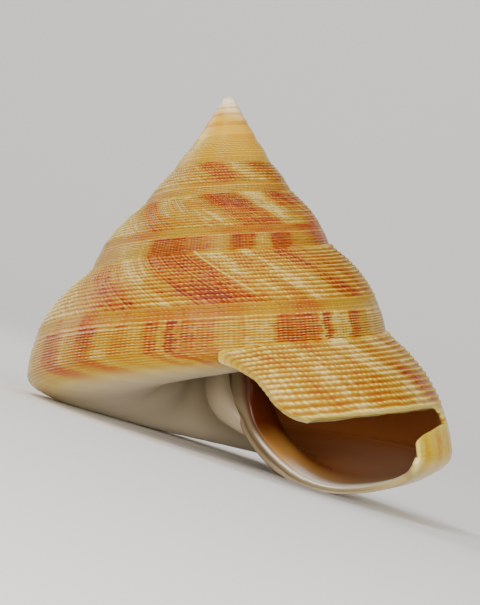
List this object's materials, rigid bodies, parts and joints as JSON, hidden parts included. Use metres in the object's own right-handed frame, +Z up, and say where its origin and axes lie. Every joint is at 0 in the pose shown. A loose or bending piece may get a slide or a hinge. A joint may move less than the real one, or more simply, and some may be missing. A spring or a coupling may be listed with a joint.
{
  "type": "slit shell",
  "caption": "Cone-shaped coiled sea snail shell with beaded ribs, a wide mouth and a long slit in its outer lip.",
  "frame": {"origin": "centre of the footprint, on the surface that the shell rests on", "axes": "+Z up as the shell rests on its base and lip, -Y out of the mouth towards the viewer, tip leaning towards -X"},
  "size_m": [0.094, 0.0958, 0.0756],
  "materials": {
    "shell": "semi-gloss"
  },
  "bodies": {
    "root": {"slit_shell": "shell"}
  },
  "joints": []
}
